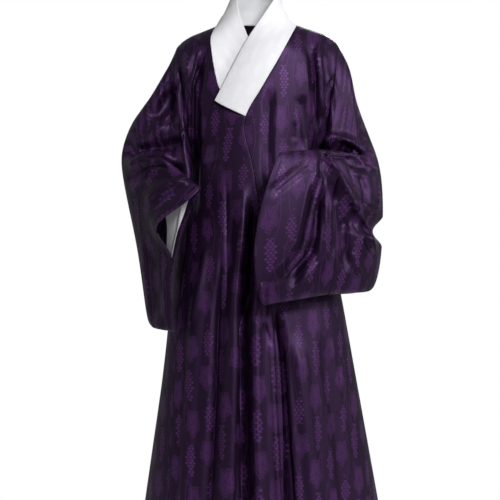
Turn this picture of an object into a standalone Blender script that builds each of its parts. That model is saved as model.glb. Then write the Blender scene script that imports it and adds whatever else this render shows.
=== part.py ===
"""A long crossed-over robe in purple damask with a broad white collar band.

The robe keeps the hollow form that it has on a wearer. X runs to the wearer's
left, Y to the wearer's back and Z up. The origin is at the base of the neck,
midway between the shoulders, where the wearer carries the robe.
"""
import math

import bmesh
import bpy
import numpy as np

for old in list(bpy.data.objects):
    bpy.data.objects.remove(old, do_unlink=True)

# Driving sizes, in metres
CLOTH = 0.0022           # folded double at its edges, so thicker than one ply
COLLAR_CLOTH = 0.0026
FACING_CLOTH = 0.0012
SEAM_GAP = 0.0003
COLLAR_GAP = 0.0006
FACING_GAP = 0.0004
OVERLAP_LIFT = 0.004     # how far the over front stands off the body
COVERED_SINK = 0.036     # how far the under front lies in where it is covered
NECK_HALF = 0.116        # centre line to where the shoulder seam meets the neck
NECK_DROP = 0.034        # how far the back neckline dips below the shoulder line
SHOULDER_ROLL = 0.11     # drop over which the cloth rounds forward off the shoulder
ARMHOLE_SHARE = 0.50     # armhole edge's depth as a share of the body's depth
SHOULDER_LEAN = 0.022    # rise of the shoulder line for each metre to the left
TIP_HEIGHT = -0.012
UNDERARM_HEIGHT = -0.310
HEM_HEIGHT = -1.345
COLLAR_CORNER = -0.229   # height of the outer corner of the collar's over end
LIFT_START = 0.20        # distance to the left at which the over front starts to stand off
LIFT_RUN = 0.07          # width over which it comes up to its full lift
LIFT_DROP = 0.10         # the same, down from the shoulder line
SINK_RUN = 0.060         # width over which the covered under front goes in
FACING_DEPTH_ROWS = 6
SLACK_AT = 0.26          # where down a cuff its near side is set back the most
SLACK_SPREAD = 0.15
MIDDLE_AT = 0.4          # how far down a sleeve ring its middle point lies
ARMHOLE_FADE = 1.4       # rings over which a sleeve takes up the armhole's outline
COLLAR_CROWN = 0.010     # bulge of the collar band between its edges
CROWN_END = 0.60         # share of the band's length where the bulge starts to go
CROWN_RUN = 0.20
FOLD_END = 0.2           # share of a fold's length over which it fades at an end

# Grid sizes of the pieces
NECK_ROWS = 10
ARM_ROWS = 14
ALL_ROWS = 31
SIDE_COLUMNS = 11        # from the neck point, or the front edge, to the side
NAPE_COLUMNS = 4         # from the neck point to the centre of the back
OVERLAP_COLUMNS = 8
UPPER_SLEEVE_ROWS = 11
LOWER_SLEEVE_ROWS = 8
COLLAR_COLUMNS = 4
ARM_EASING = 1.4         # above 1, rows crowd towards the top of the armhole
NECK_EASING = 1.25
POOL_SCALE = 1e5         # seam points that round to the same 0.01 mm are one point

# Eye point and scale of the front view that places the folds
EYE = (-0.020, -4.500, -0.5985)
PIXELS_PER_SLOPE = 1579.0
VIEW_MIDDLE = 250.0
VIEW_BOTTOM = 500.0      # a fold whose line ends below this runs on to the hem

# Height of the shoulder line: distance from the centre line, height
SHOULDER_LINE = (
    (0.000, 0.085),
    (0.060, 0.070),
    (0.116, 0.041),
    (0.160, 0.024),
    (0.190, 0.012),
    (0.210, 0.000),
    (0.228, -0.016),
)

# Body sections: height, half width to the wearer's left, half width to the
# wearer's right, depth to the front, depth to the back
BODY = (
    (0.090, 0.228, 0.228, 0.098, 0.092),
    (-0.012, 0.228, 0.228, 0.112, 0.104),
    (-0.114, 0.218, 0.218, 0.122, 0.113),
    (-0.228, 0.201, 0.201, 0.127, 0.116),
    (-0.310, 0.190, 0.190, 0.130, 0.116),
    (-0.450, 0.196, 0.200, 0.139, 0.119),
    (-0.600, 0.216, 0.235, 0.151, 0.131),
    (-0.750, 0.244, 0.247, 0.166, 0.151),
    (-0.950, 0.280, 0.268, 0.187, 0.181),
    (-1.150, 0.316, 0.296, 0.207, 0.208),
    (-1.345, 0.351, 0.324, 0.226, 0.235),
)

# Seam of the over front with its overlap panel, and the neck edge above it:
# height, distance to the wearer's left
OVER_SEAM = (
    (0.043, 0.116),
    (-0.064, 0.061),
    (-0.147, 0.013),
    (-0.229, -0.032),
    (-0.370, -0.012),
    (-0.516, 0.013),
    (-0.768, 0.040),
    (-0.969, 0.046),
    (-1.345, 0.067),
)

# Free edge of the overlap panel: height, distance to the wearer's left
OVERLAP_EDGE = (
    (-0.184, -0.119),
    (-0.368, -0.167),
    (-0.600, -0.195),
    (-0.823, -0.221),
    (-1.043, -0.229),
    (-1.345, -0.243),
)

# Line from the crossing of the collar to its over end, above that free edge
COVER_LINE = (
    (0.120, 0.300),
    (0.030, 0.100),
    (-0.002, -0.020),
    (-0.100, -0.078),
) + OVERLAP_EDGE

# Neck edge of the under front, and below it its own free edge
UNDER_EDGE = (
    (0.043, -0.116),
    (0.006, -0.130),
    (-0.039, -0.128),
    (-0.074, -0.123),
    (-0.115, -0.115),
    (-0.147, -0.106),
    (-0.190, -0.070),
    (-0.229, -0.020),
    (-0.400, 0.020),
    (-0.800, 0.060),
    (-1.345, 0.100),
)

# Inner edge of the collar band, from the over end round the nape to the under
# end: share of the length, x, y, z
COLLAR_INNER = (
    (0.00, -0.119, -0.124, -0.184),
    (0.14, -0.075, -0.118, -0.098),
    (0.28, -0.024, -0.094, -0.002),
    (0.39, 0.045, -0.058, 0.104),
    (0.45, 0.062, -0.006, 0.142),
    (0.52, 0.000, 0.056, 0.158),
    (0.58, -0.062, -0.006, 0.142),
    (0.63, -0.058, -0.050, 0.106),
    (0.76, -0.024, -0.072, -0.002),
    (0.88, 0.032, -0.090, -0.100),
    (1.00, 0.082, -0.098, -0.190),
)

# Sleeve rings from armhole to cuff. Each ring hangs from a top point, through a
# middle point, to a bottom point. Then come the bearing of its side that begins
# at the body's front, in degrees, its half thickness at the top and at the
# bottom, and how far its other side is set back from the cuff
LEFT_SLEEVE = (
    ((0.228, 0.000, -0.012), (0.212, 0.000, -0.140), (0.190, 0.000, -0.310), -90, 0.060, 0.030, 0.0),
    ((0.262, 0.004, -0.080), (0.244, 0.000, -0.225), (0.188, -0.060, -0.395), -90, 0.062, 0.040, 0.0),
    ((0.284, 0.004, -0.175), (0.276, 0.000, -0.320), (0.222, -0.058, -0.510), -98, 0.060, 0.036, 0.0),
    ((0.306, -0.008, -0.268), (0.304, -0.016, -0.420), (0.280, -0.030, -0.620), -125, 0.056, 0.030, 0.0),
    ((0.302, -0.056, -0.330), (0.316, -0.060, -0.490), (0.316, -0.048, -0.705), -175, 0.046, 0.026, 0.0),
    ((0.248, -0.124, -0.328), (0.272, -0.134, -0.500), (0.268, -0.126, -0.718), -222, 0.042, 0.022, 0.0),
    ((0.185, -0.176, -0.324), (0.200, -0.192, -0.500), (0.188, -0.186, -0.722), -236, 0.040, 0.020, 0.0),
    ((0.112, -0.215, -0.328), (0.100, -0.232, -0.510), (0.100, -0.226, -0.735), -240, 0.040, 0.022, 0.0),
    ((0.062, -0.242, -0.335), (0.003, -0.250, -0.520), (0.014, -0.246, -0.750), -275, 0.034, 0.024, 0.0),
)
RIGHT_SLEEVE = (
    ((-0.228, 0.000, -0.012), (-0.212, 0.000, -0.140), (-0.190, 0.000, -0.310), -90, 0.060, 0.030, 0.0),
    ((-0.256, 0.004, -0.080), (-0.242, 0.000, -0.240), (-0.184, -0.078, -0.395), -90, 0.062, 0.040, 0.0),
    ((-0.300, 0.006, -0.155), (-0.282, 0.000, -0.330), (-0.208, -0.080, -0.520), -86, 0.060, 0.036, 0.0),
    ((-0.352, 0.006, -0.235), (-0.342, 0.000, -0.430), (-0.260, -0.050, -0.660), -68, 0.054, 0.030, 0.0),
    ((-0.370, -0.014, -0.325), (-0.322, -0.030, -0.540), (-0.296, -0.032, -0.785), -25, 0.040, 0.020, 0.0),
    ((-0.328, -0.080, -0.345), (-0.304, -0.074, -0.560), (-0.290, -0.070, -0.814), 12, 0.040, 0.020, 0.0),
    ((-0.252, -0.150, -0.355), (-0.262, -0.132, -0.570), (-0.265, -0.120, -0.820), 55, 0.042, 0.018, 0.03),
    ((-0.152, -0.205, -0.430), (-0.217, -0.180, -0.590), (-0.226, -0.168, -0.822), 92, 0.044, 0.014, 0.074),
)
LEFT_SEAM_RING = 6.0
RIGHT_SEAM_RING = 5.4

# Largest folds in the front view: piece, half width, height off the cloth
# (negative for a trough), then the points of its line in pixels of that view
FRONT_FOLDS = (
    ("body", 0.030, 0.020, ((243, 176), (243, 223), (236, 300), (230, 400), (226, 512))),
    ("body", 0.026, -0.024, ((255, 180), (250, 250), (243, 320), (245, 420), (247, 512))),
    ("body", 0.026, 0.016, ((262, 250), (256, 320), (258, 420), (262, 512))),
    ("body", 0.024, -0.026, ((274, 300), (279, 340), (282, 400), (290, 512))),
    ("body", 0.030, 0.012, ((296, 330), (304, 400), (316, 512))),
    ("body", 0.026, -0.012, ((322, 330), (336, 420), (346, 512))),
    ("body", 0.024, -0.012, ((220, 270), (215, 400), (208, 512))),
    ("body", 0.026, 0.010, ((206, 250), (199, 300), (190, 400), (184, 512))),
    ("body", 0.026, -0.018, ((203, 34), (198, 60), (193, 100), (194, 165), (192, 230))),
    ("body", 0.020, 0.010, ((188, 50), (190, 85), (187, 150))),
    ("body", 0.026, -0.018, ((303, 30), (313, 57), (316, 90), (317, 140), (312, 200))),
    ("body", 0.022, 0.010, ((323, 45), (325, 80), (322, 120))),
    ("body", 0.022, -0.010, ((270, 86), (268, 141), (268, 190))),
    ("body", 0.024, -0.010, ((300, 94), (304, 116), (308, 150))),
    ("left_sleeve", 0.026, 0.014, ((318, 142), (345, 140), (372, 155))),
    ("left_sleeve", 0.026, -0.018, ((318, 152), (345, 153), (370, 172))),
    ("left_sleeve", 0.028, 0.017, ((318, 150), (345, 195), (365, 235), (376, 265))),
    ("left_sleeve", 0.026, -0.019, ((328, 168), (344, 203), (346, 240), (347, 274))),
    ("left_sleeve", 0.024, 0.016, ((319, 172), (313, 203), (305, 241), (292, 264), (270, 284))),
    ("left_sleeve", 0.022, -0.018, ((322, 184), (318, 215), (311, 250), (300, 268), (288, 294))),
    ("left_sleeve", 0.022, -0.010, ((313, 160), (290, 178), (268, 196))),
    ("right_sleeve", 0.024, -0.018, ((176, 80), (166, 100), (152, 122))),
    ("right_sleeve", 0.024, 0.015, ((180, 118), (160, 130), (140, 150))),
    ("right_sleeve", 0.022, -0.016, ((186, 140), (160, 148), (134, 152))),
    ("right_sleeve", 0.022, 0.015, ((128, 165), (150, 156), (178, 160))),
    ("right_sleeve", 0.022, -0.010, ((130, 185), (150, 172), (185, 171))),
    ("right_sleeve", 0.020, 0.010, ((145, 200), (162, 183), (190, 180))),
    ("right_sleeve", 0.022, -0.010, ((150, 240), (153, 280), (156, 325))),
)

# Largest folds on the back, in the same view as if seen through the robe
BACK_FOLDS = (
    ("body", 0.032, 0.014, ((257, 150), (256, 300), (254, 512))),
    ("body", 0.028, -0.015, ((238, 150), (232, 300), (222, 512))),
    ("body", 0.030, 0.012, ((218, 210), (208, 330), (192, 512))),
    ("body", 0.026, -0.012, ((196, 220), (184, 350), (168, 512))),
    ("body", 0.028, -0.015, ((276, 160), (283, 300), (290, 512))),
    ("body", 0.030, 0.012, ((297, 200), (306, 330), (320, 512))),
    ("body", 0.026, -0.012, ((318, 230), (330, 350), (346, 512))),
    ("body", 0.026, -0.014, ((204, 50), (196, 100), (196, 180))),
    ("body", 0.026, -0.014, ((308, 50), (318, 100), (317, 180))),
    ("left_sleeve", 0.028, -0.013, ((340, 90), (352, 140), (366, 180))),
    ("left_sleeve", 0.028, -0.013, ((326, 130), (340, 190), (362, 240))),
    ("right_sleeve", 0.028, -0.013, ((170, 90), (156, 140), (142, 180))),
    ("right_sleeve", 0.028, -0.013, ((186, 130), (172, 190), (152, 250))),
)

# Folds that run over a sleeve's outline and so go round both of its sides
EDGE_FOLDS = (
    ("left_sleeve", 0.042, -0.028, ((346, 214), (368, 226), (394, 236))),
)

PURPLE = (0.030, 0.006, 0.052)
PURPLE_ROUGHNESS = 0.42
WHITE = (0.780, 0.785, 0.820)
WHITE_ROUGHNESS = 0.55


def smooth_through(knots, values, at):
    """Value at each place of a smooth curve through values at rising knots."""
    knots = np.asarray(knots, float)
    values = np.asarray(values, float)
    at = np.clip(np.asarray(at, float), knots[0], knots[-1])
    index = np.clip(np.searchsorted(knots, at, side="right") - 1, 0, len(knots) - 2)
    slopes = np.gradient(values, knots, axis=0)
    step = knots[index + 1] - knots[index]
    t = (at - knots[index]) / step
    if values.ndim == 2:
        t = t[..., None]
        step = step[..., None]
    start = (2 * t**3 - 3 * t**2 + 1) * values[index]
    start_slope = (t**3 - 2 * t**2 + t) * step * slopes[index]
    end = (3 * t**2 - 2 * t**3) * values[index + 1]
    end_slope = (t**3 - t**2) * step * slopes[index + 1]
    return start + start_slope + end + end_slope


def by_height(table, column, height):
    """Read one column of a table whose first column is a falling height."""
    rows = np.array(table)
    return smooth_through(-rows[:, 0], rows[:, column], -np.asarray(height, float))


def ease(t):
    """Rise from 0 to 1 with level ends."""
    t = np.clip(t, 0.0, 1.0)
    return t * t * (3.0 - 2.0 * t)


def shoulder_height(x):
    line = np.array(SHOULDER_LINE)
    return smooth_through(line[:, 0], line[:, 1], np.abs(x)) + SHOULDER_LEAN * x


def armhole_share(height):
    """Depth of the armhole edge as a share of the body's depth at a height."""
    down = np.clip((TIP_HEIGHT - height) / (TIP_HEIGHT - UNDERARM_HEIGHT), 0.0, 1.0)
    return ARMHOLE_SHARE * np.sqrt(1.0 - down**4)


def side_angle(height):
    """Angle from the centre line to the armhole edge or the side seam."""
    return np.arccos(armhole_share(height))


def half_width(height, to_left):
    """Half width of the whole oval that the body's section follows."""
    edge = np.where(to_left, by_height(BODY, 1, height), by_height(BODY, 2, height))
    return edge / np.sin(side_angle(height))


def body_points(angle, height, drop, face):
    """Points of the body cloth. The angle runs from the centre line, positive to
    the wearer's left, drop is the distance below the shoulder line, and face is 3
    for the front and 4 for the back, as in the columns of BODY."""
    x = half_width(height, angle >= 0.0) * np.sin(angle)
    roll = np.clip(drop / SHOULDER_ROLL, 0.0, 1.0)
    depth = by_height(BODY, face, height) * np.cos(angle) * np.sqrt(1.0 - (1.0 - roll)**2)
    toward = -1.0 if face == 3 else 1.0
    return np.stack([x, toward * depth, height], axis=-1)


def angle_at(x, height):
    """Angle from the centre line at which the section passes a distance x."""
    return np.arcsin(np.clip(x / half_width(height, x >= 0.0), -1.0, 1.0))


def side_heights(rows):
    """Heights down the armhole and then down the side seam."""
    share = (np.arange(ARM_ROWS + 1) / ARM_ROWS)**ARM_EASING
    arm = TIP_HEIGHT + (UNDERARM_HEIGHT - TIP_HEIGHT) * share
    seam = np.linspace(UNDERARM_HEIGHT, HEM_HEIGHT, rows - ARM_ROWS + 1)[1:]
    return np.concatenate([arm, seam])


def neck_heights(top, rows):
    """Heights down a front's neck edge and then down its lower edge."""
    share = (np.arange(NECK_ROWS + 1) / NECK_ROWS)**NECK_EASING
    neck = top + (COLLAR_CORNER - top) * share
    below = np.linspace(COLLAR_CORNER, HEM_HEIGHT, rows - NECK_ROWS + 1)[1:]
    return np.concatenate([neck, below])


def front_panel(edge_table, to_left):
    """Grid of a front from its neck edge and free edge out to the side."""
    inner = neck_heights(edge_table[0][0], ALL_ROWS)
    outer = side_heights(ALL_ROWS)
    share = np.linspace(0.0, 1.0, SIDE_COLUMNS + 1)
    turn = 1.0 if to_left else -1.0
    inner_angle = angle_at(by_height(edge_table, 1, inner), inner)
    outer_angle = turn * side_angle(outer)
    angle = inner_angle[:, None] * (1.0 - share) + outer_angle[:, None] * share
    height = inner[:, None] * (1.0 - share) + outer[:, None] * share
    return rolled_over(angle, height, 3)


def back_panel(to_left):
    """Grid of half the back, from its centre seam out to the side."""
    turn = 1.0 if to_left else -1.0
    outer = side_heights(ALL_ROWS)
    middle = np.concatenate([
        np.linspace(SHOULDER_LINE[0][1] - NECK_DROP, UNDERARM_HEIGHT, ARM_ROWS + 1),
        outer[ARM_ROWS + 1:]])
    neck = np.concatenate([
        np.linspace(SHOULDER_LINE[2][1], UNDERARM_HEIGHT, ARM_ROWS + 1),
        outer[ARM_ROWS + 1:]])
    neck_angle = angle_at(np.full(neck.shape, NECK_HALF), neck)
    nape_share = np.linspace(0.0, 1.0, NAPE_COLUMNS + 1)[:-1]
    side_share = np.linspace(0.0, 1.0, SIDE_COLUMNS + 1)
    nape_angle = neck_angle[:, None] * nape_share
    side = neck_angle[:, None] * (1.0 - side_share) + side_angle(outer)[:, None] * side_share
    angle = turn * np.concatenate([nape_angle, side], axis=1)
    nape_height = middle[:, None] + (neck - middle)[:, None] * nape_share**2
    side_height = neck[:, None] * (1.0 - side_share) + outer[:, None] * side_share
    height = np.concatenate([nape_height, side_height], axis=1)
    return rolled_over(angle, height, 4)


def rolled_over(angle, height, face):
    """Lay a grid on the body with its first row on the shoulder line."""
    fade = (1.0 - np.minimum(np.arange(len(height)) / ARM_ROWS, 1.0))**2
    x = half_width(height, angle >= 0.0) * np.sin(angle)
    beyond_neck = np.abs(x[0]) >= NECK_HALF - 1e-6
    lift = np.where(beyond_neck, shoulder_height(x[0]) - height[0], 0.0)
    height = height + fade[:, None] * lift
    drop = shoulder_height(x) - height
    drop[0] = np.where(beyond_neck, 0.0, drop[0])
    return body_points(angle, height, drop, face)


def overlap_panel(over_front):
    """Grid of the overlap panel, from the collar's end down to the hem."""
    seam = over_front[NECK_ROWS:, 0]
    edge_heights = np.linspace(OVERLAP_EDGE[0][0], HEM_HEIGHT, len(seam))
    edge_angle = angle_at(by_height(OVERLAP_EDGE, 1, edge_heights), edge_heights)
    seam_angle = angle_at(seam[:, 0], seam[:, 2])
    share = np.linspace(0.0, 1.0, OVERLAP_COLUMNS + 1)
    angle = edge_angle[:, None] * (1.0 - share) + seam_angle[:, None] * share
    height = edge_heights[:, None] * (1.0 - share) + seam[:, 2][:, None] * share
    x = half_width(height, angle >= 0.0) * np.sin(angle)
    return body_points(angle, height, shoulder_height(x) - height, 3)


def sleeve_grid(table, seam_ring, armhole):
    """Grid of a sleeve: rows from armhole to cuff, columns round each ring."""
    rings = np.array([[*top, *middle, *bottom, bearing, thick, thin, back]
                      for top, middle, bottom, bearing, thick, thin, back in table])
    last = len(table) - 1.0
    place = np.concatenate([np.linspace(0.0, seam_ring, UPPER_SLEEVE_ROWS + 1),
                            np.linspace(seam_ring, last, LOWER_SLEEVE_ROWS + 1)[1:]])
    ring = smooth_through(np.arange(len(table)), rings, place)
    top, middle, bottom = ring[:, None, 0:3], ring[:, None, 3:6], ring[:, None, 6:9]
    steps = np.arange(ARM_ROWS + 1) / ARM_ROWS
    even = 0.5 * (1.0 - np.cos(math.pi * steps))
    down = 0.5 * even + 0.5 * steps
    down = np.concatenate([down, down[-2:0:-1]])
    front_side = np.arange(len(down)) <= ARM_ROWS
    q = down[None, :, None]
    spine = (top * (q - MIDDLE_AT) * (q - 1.0) / MIDDLE_AT
             - middle * q * (q - 1.0) / (MIDDLE_AT * (1.0 - MIDDLE_AT))
             + bottom * q * (q - MIDDLE_AT) / (1.0 - MIDDLE_AT))
    bearing = np.radians(ring[:, 9])
    sideways = np.stack([np.cos(bearing), np.sin(bearing), np.zeros(len(bearing))], axis=-1)
    rounding = np.cbrt(1.0 - np.abs(2.0 * down - 1.0)**3)
    thickness = (ring[:, 10, None] * (1.0 - down) + ring[:, 11, None] * down) * rounding
    signed = thickness * np.where(front_side, 1.0, -1.0)
    points = spine + sideways[:, None, :] * signed[..., None]
    turn = 1.0 if table[0][0][0] > 0.0 else -1.0
    armward = turn * np.stack([np.sin(bearing), -np.cos(bearing), np.zeros(len(bearing))], axis=-1)
    slack = np.where(front_side, 0.0, 1.0) * np.exp(-((down - SLACK_AT) / SLACK_SPREAD)**2)
    points = points + armward[:, None, :] * (ring[:, 12, None] * slack)[..., None]
    fade = 1.0 - ease(place / ARMHOLE_FADE)
    return points + fade[:, None, None] * (armhole - points[0])


def collar_grid(over_front, under_front, left_back, right_back):
    """Grid of the collar band from its over end, round the nape, to its under end."""
    left_nape = left_back[0, :NAPE_COLUMNS + 1]
    right_nape = right_back[0, :NAPE_COLUMNS + 1]
    outer = np.concatenate([over_front[NECK_ROWS::-1, 0], left_nape[-2::-1],
                            right_nape[1:], under_front[1:NECK_ROWS + 1, 0]])
    runs = np.linalg.norm(np.diff(outer, axis=0), axis=1)
    length = np.concatenate([[0.0], np.cumsum(runs)])
    edge = np.array(COLLAR_INNER)
    inner = smooth_through(edge[:, 0], edge[:, 1:], length / length[-1])
    share = np.linspace(0.0, 1.0, COLLAR_COLUMNS + 1)[None, :, None]
    flat = inner[:, None, :] * (1.0 - share) + outer[:, None, :] * share
    outward = flat * np.array([1.0, 1.0, 0.0])
    outward = outward / np.linalg.norm(outward, axis=-1, keepdims=True)
    over_half = 1.0 - ease((length / length[-1] - CROWN_END) / CROWN_RUN)
    crown = COLLAR_CROWN * 4.0 * share * (1.0 - share) * over_half[:, None, None]
    return flat + outward * crown


def grid_normals(points, ring, turn):
    """Unit normals of a grid of points, pointing out of the robe."""
    down = np.gradient(points, axis=0)
    if ring:
        across = (np.roll(points, -1, axis=1) - np.roll(points, 1, axis=1)) / 2.0
    else:
        across = np.gradient(points, axis=1)
    normal = turn * np.cross(down, across)
    return normal / np.maximum(np.linalg.norm(normal, axis=-1, keepdims=True), 1e-12)


def in_view(points):
    """Pixel place of each point in the front view."""
    reach = points[..., 1] - EYE[1]
    across = VIEW_MIDDLE + PIXELS_PER_SLOPE * (points[..., 0] - EYE[0]) / reach
    down = VIEW_MIDDLE - PIXELS_PER_SLOPE * (points[..., 2] - EYE[2]) / reach
    return np.stack([across, down], axis=-1), reach / PIXELS_PER_SLOPE


def line_distance(places, line):
    """Distance of each place from a line of points, and the share run along it."""
    line = np.array(line, float)
    runs = np.linalg.norm(np.diff(line, axis=0), axis=1)
    before = np.concatenate([[0.0], np.cumsum(runs)])
    nearest = np.full(places.shape[:-1], np.inf)
    share = np.zeros(places.shape[:-1])
    for start, end, run, done in zip(line[:-1], line[1:], runs, before):
        along = np.clip(((places - start) @ (end - start)) / run**2, 0.0, 1.0)
        gap = np.linalg.norm(places - start - along[..., None] * (end - start), axis=-1)
        closer = gap < nearest
        nearest = np.where(closer, gap, nearest)
        share = np.where(closer, (done + along * run) / before[-1], share)
    return nearest, share


def fold_height(points, normals, group):
    """How far the folds of a group move each point off the plain cloth."""
    places, metres_per_pixel = in_view(points)
    height = np.zeros(points.shape[:-1])
    for folds, facing in ((FRONT_FOLDS, -1.0), (BACK_FOLDS, 1.0), (EDGE_FOLDS, 0.0)):
        seen = np.clip(2.0 * facing * normals[..., 1], 0.0, 1.0) if facing else 1.0
        for on, half_wide, crest, line in folds:
            if on != group:
                continue
            gap, share = line_distance(places, line)
            across = np.clip(gap * metres_per_pixel / half_wide, 0.0, 1.0)
            ends = ease(share / FOLD_END)
            if line[-1][1] < VIEW_BOTTOM:
                ends = ends * ease((1.0 - share) / FOLD_END)
            height += seen * crest * (1.0 - across**2)**2 * ends
    return height


def folded(points, ring, turn, group):
    """The grid with its folds raised and sunk along its normals."""
    normals = grid_normals(points, ring, turn)
    return points + normals * fold_height(points, normals, group)[..., None]


def covered(points, turn):
    """The under front, folded where it shows and sunk plain where it is covered."""
    normals = grid_normals(points, False, turn)
    past = points[..., 0] - by_height(COVER_LINE, 1, points[..., 2])
    hidden = ease(past / SINK_RUN)
    height = fold_height(points, normals, "body") * (1.0 - hidden) - COVERED_SINK * hidden
    return points + normals * height[..., None]


def lifted(points, turn):
    """The over front, moved off the under front where they overlap."""
    normals = grid_normals(points, False, turn)
    drop = shoulder_height(points[..., 0]) - points[..., 2]
    inward = ease((LIFT_START - points[..., 0]) / LIFT_RUN)
    amount = OVERLAP_LIFT * inward * ease(drop / LIFT_DROP)
    return points + normals * amount[..., None]


def pulled_back(points, ring, gap):
    """Half a seam gap taken off each free side of a grid."""
    points = points.copy()
    sides = [(0, 1), (-1, -2)]
    for edge, inside in sides:
        step = points[inside] - points[edge]
        points[edge] += gap / 2.0 * step / np.linalg.norm(step, axis=-1, keepdims=True)
    if not ring:
        for edge, inside in sides:
            step = points[:, inside] - points[:, edge]
            points[:, edge] += gap / 2.0 * step / np.linalg.norm(step, axis=-1, keepdims=True)
    return points


def shared_normals(grids):
    """Normals of every grid, made equal where two pieces meet at a seam."""
    pool = {}
    keys = {}
    normals = {}
    for name, (points, ring, turn) in grids.items():
        normals[name] = grid_normals(points, ring, turn)
        keys[name] = np.round(points * POOL_SCALE).astype(int)
        for key, normal in zip(keys[name].reshape(-1, 3), normals[name].reshape(-1, 3)):
            pool[tuple(key)] = pool.get(tuple(key), 0.0) + normal
    for name in grids:
        flat = normals[name].reshape(-1, 3)
        for index, key in enumerate(keys[name].reshape(-1, 3)):
            flat[index] = pool[tuple(key)] / np.linalg.norm(pool[tuple(key)])
    return normals


def material(name, colour, roughness):
    made = bpy.data.materials.new(name)
    made.use_nodes = True
    shader = made.node_tree.nodes["Principled BSDF"]
    shader.inputs["Base Color"].default_value = (*colour, 1.0)
    shader.inputs["Roughness"].default_value = roughness
    shader.inputs["Metallic"].default_value = 0.0
    return made


def wall(name, outer, inner, ring, finish):
    """Closed solid between an outer and an inner grid of points."""
    rows, columns = outer.shape[:2]
    count = rows * columns
    vertices = np.concatenate([outer.reshape(-1, 3), inner.reshape(-1, 3)])
    faces = []
    for row in range(rows - 1):
        for column in range(columns if ring else columns - 1):
            beside = (column + 1) % columns
            above, above_beside = row * columns + column, row * columns + beside
            below, below_beside = above + columns, above_beside + columns
            for half in ((above, below, below_beside), (above, below_beside, above_beside)):
                faces.append(half)
                faces.append([count + corner for corner in reversed(half)])
    borders = []
    for row, order in ((0, 1), (rows - 1, -1)):
        line = [row * columns + column for column in range(columns)]
        if ring:
            line.append(line[0])
        borders.append(line[::order])
    if not ring:
        for column, order in ((0, -1), (columns - 1, 1)):
            line = [row * columns + column for row in range(rows)]
            borders.append(line[::order])
    for line in borders:
        for first, second in zip(line[:-1], line[1:]):
            faces.append([first, second, count + second])
            faces.append([first, count + second, count + first])
    mesh = bpy.data.meshes.new(name)
    mesh.from_pydata([tuple(vertex) for vertex in vertices], [], faces)
    tidy = bmesh.new()
    tidy.from_mesh(mesh)
    bmesh.ops.recalc_face_normals(tidy, faces=tidy.faces)
    tidy.to_mesh(mesh)
    tidy.free()
    mesh.materials.append(finish)
    mesh.shade_smooth()
    made = bpy.data.objects.new(name, mesh)
    bpy.context.collection.objects.link(made)
    return made


def main():
    over_plain = front_panel(OVER_SEAM, True)
    under_plain = front_panel(UNDER_EDGE, False)
    left_back = folded(back_panel(True), False, -1.0, "body")
    right_back = folded(back_panel(False), False, 1.0, "body")
    centre = (left_back[:, 0] + right_back[:, 0]) / 2.0
    centre[:, 0] = 0.0
    left_back[:, 0] = centre
    right_back[:, 0] = centre
    overlap = lifted(folded(overlap_panel(over_plain), False, 1.0, "body"), 1.0)
    over = lifted(folded(over_plain, False, 1.0, "body"), 1.0)
    overlap[:, -1] = over[NECK_ROWS:, 0]
    under = covered(under_plain, -1.0)
    for front, back in ((over, left_back), (under, right_back)):
        front[ARM_ROWS:, -1] = back[ARM_ROWS:, -1]
        front[0] = back[0, NAPE_COLUMNS:]
    sleeves = {}
    for side, front, back, table, seam, turn in (
            ("left", over, left_back, LEFT_SLEEVE, LEFT_SEAM_RING, -1.0),
            ("right", under, right_back, RIGHT_SLEEVE, RIGHT_SEAM_RING, 1.0)):
        armhole = np.concatenate([front[:ARM_ROWS + 1, -1], back[ARM_ROWS - 1:0:-1, -1]])
        plain = sleeve_grid(table, seam, armhole)
        shaped = folded(plain, True, turn, side + "_sleeve")
        shaped[0] = armhole
        sleeves[side] = shaped
    cut = UPPER_SLEEVE_ROWS
    grids = {
        "front_left": (over, False, 1.0),
        "overlap_panel": (overlap, False, 1.0),
        "front_right": (under, False, -1.0),
        "back_left": (left_back, False, -1.0),
        "back_right": (right_back, False, 1.0),
        "sleeve_left_upper": (sleeves["left"][:cut + 1], True, -1.0),
        "sleeve_left_lower": (sleeves["left"][cut:], True, -1.0),
        "sleeve_right_upper": (sleeves["right"][:cut + 1], True, 1.0),
        "sleeve_right_lower": (sleeves["right"][cut:], True, 1.0),
        "collar_band": (collar_grid(over, under, left_back, right_back), False, -1.0),
    }
    normals = shared_normals(grids)
    damask = material("purple damask", PURPLE, PURPLE_ROUGHNESS)
    white = material("white damask", WHITE, WHITE_ROUGHNESS)
    for name, (points, ring, turn) in grids.items():
        collar = name == "collar_band"
        thick = COLLAR_CLOTH if collar else CLOTH
        finish = white if collar else damask
        outer = pulled_back(points, ring, COLLAR_GAP if collar else SEAM_GAP)
        wall(name, outer, outer - thick * normals[name], ring, finish)
    cuff, cuff_normals = sleeves["right"], normals["sleeve_right_lower"]
    start = -1 - FACING_DEPTH_ROWS
    inset = CLOTH + FACING_GAP
    facing = cuff[start:-1] - inset * cuff_normals[start:-1]
    wall("cuff_facing_right", facing, facing - FACING_CLOTH * cuff_normals[start:-1], True, white)


main()
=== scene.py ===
"""Cloth, finish, light and camera of a long crossed-over robe in purple damask.

X runs to the wearer's left, Y to the wearer's back and Z up, in metres. The
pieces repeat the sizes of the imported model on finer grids, with finer folds.
"""
import math

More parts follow.
